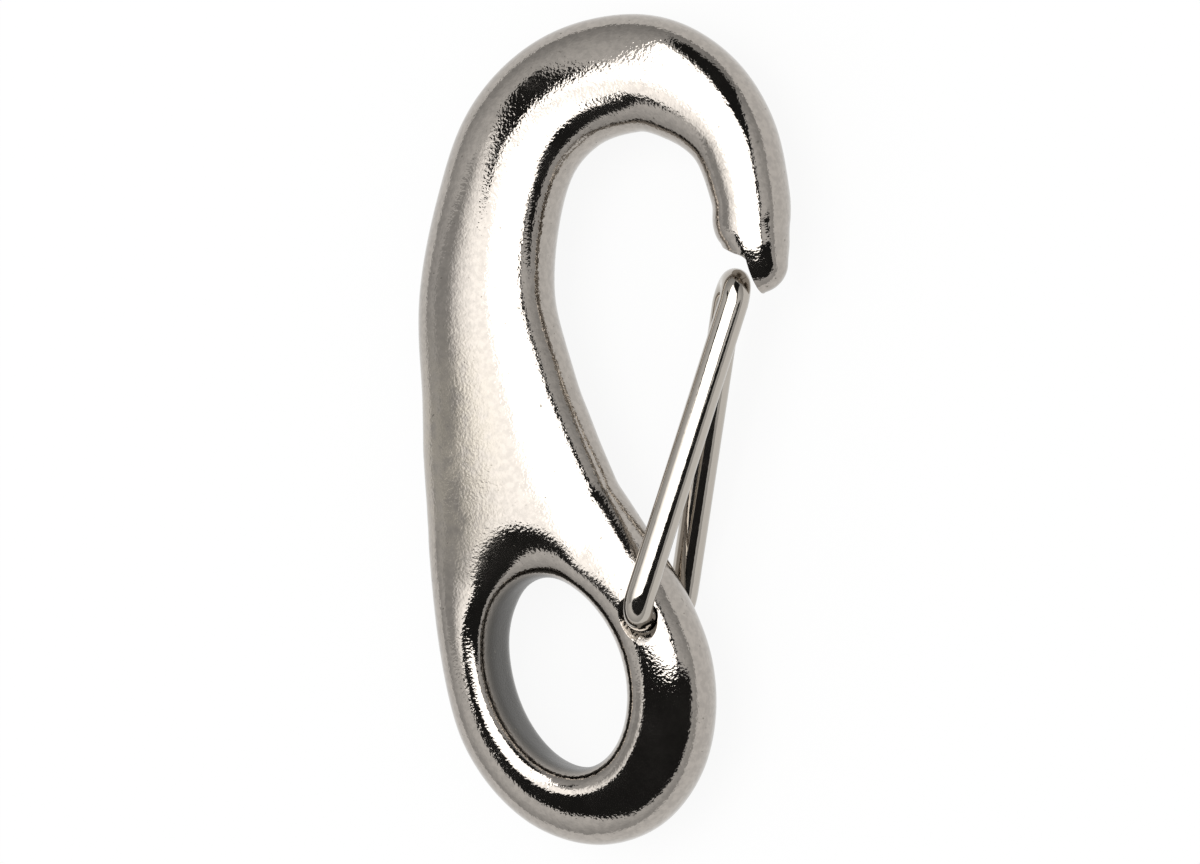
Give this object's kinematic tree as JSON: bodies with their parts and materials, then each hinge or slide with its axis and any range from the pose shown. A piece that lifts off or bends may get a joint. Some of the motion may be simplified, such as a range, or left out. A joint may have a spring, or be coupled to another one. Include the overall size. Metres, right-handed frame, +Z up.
{
  "type": "jib snap hook",
  "caption": "Cast stainless snap hook with a leaning oval eye, closed by a sprung hairpin wire gate that folds inwards to admit a stay, ring or rope.",
  "frame": {"origin": "under the middle of the part's box, on the surface that the lower gate foot touches when the hook lies flat", "axes": "+Y along the hook from the eye to the bow, +X across it towards the nose and the gate, +Z up, square to the flat of the hook and along the gate's pivot"},
  "size_m": [0.0332, 0.0699, 0.0127],
  "materials": {
    "cast_stainless": "investment cast stainless steel, mirror polished over a fine cast grain",
    "spring_wire": "bright drawn stainless spring wire"
  },
  "bodies": {
    "hook": {"hook_body": "cast_stainless"},
    "gate": {"wire_gate": "spring_wire"}
  },
  "joints": [
    {"name": "gate_pivot", "type": "hinge", "parent": "hook", "child": "gate", "pos_m": [0.00501, -0.01559, 0.00637], "axis": [0, 0, 1], "range_deg": [0, 28], "stiffness_Nm_per_rad": 0.3, "springref_deg": -17.19}
  ]
}
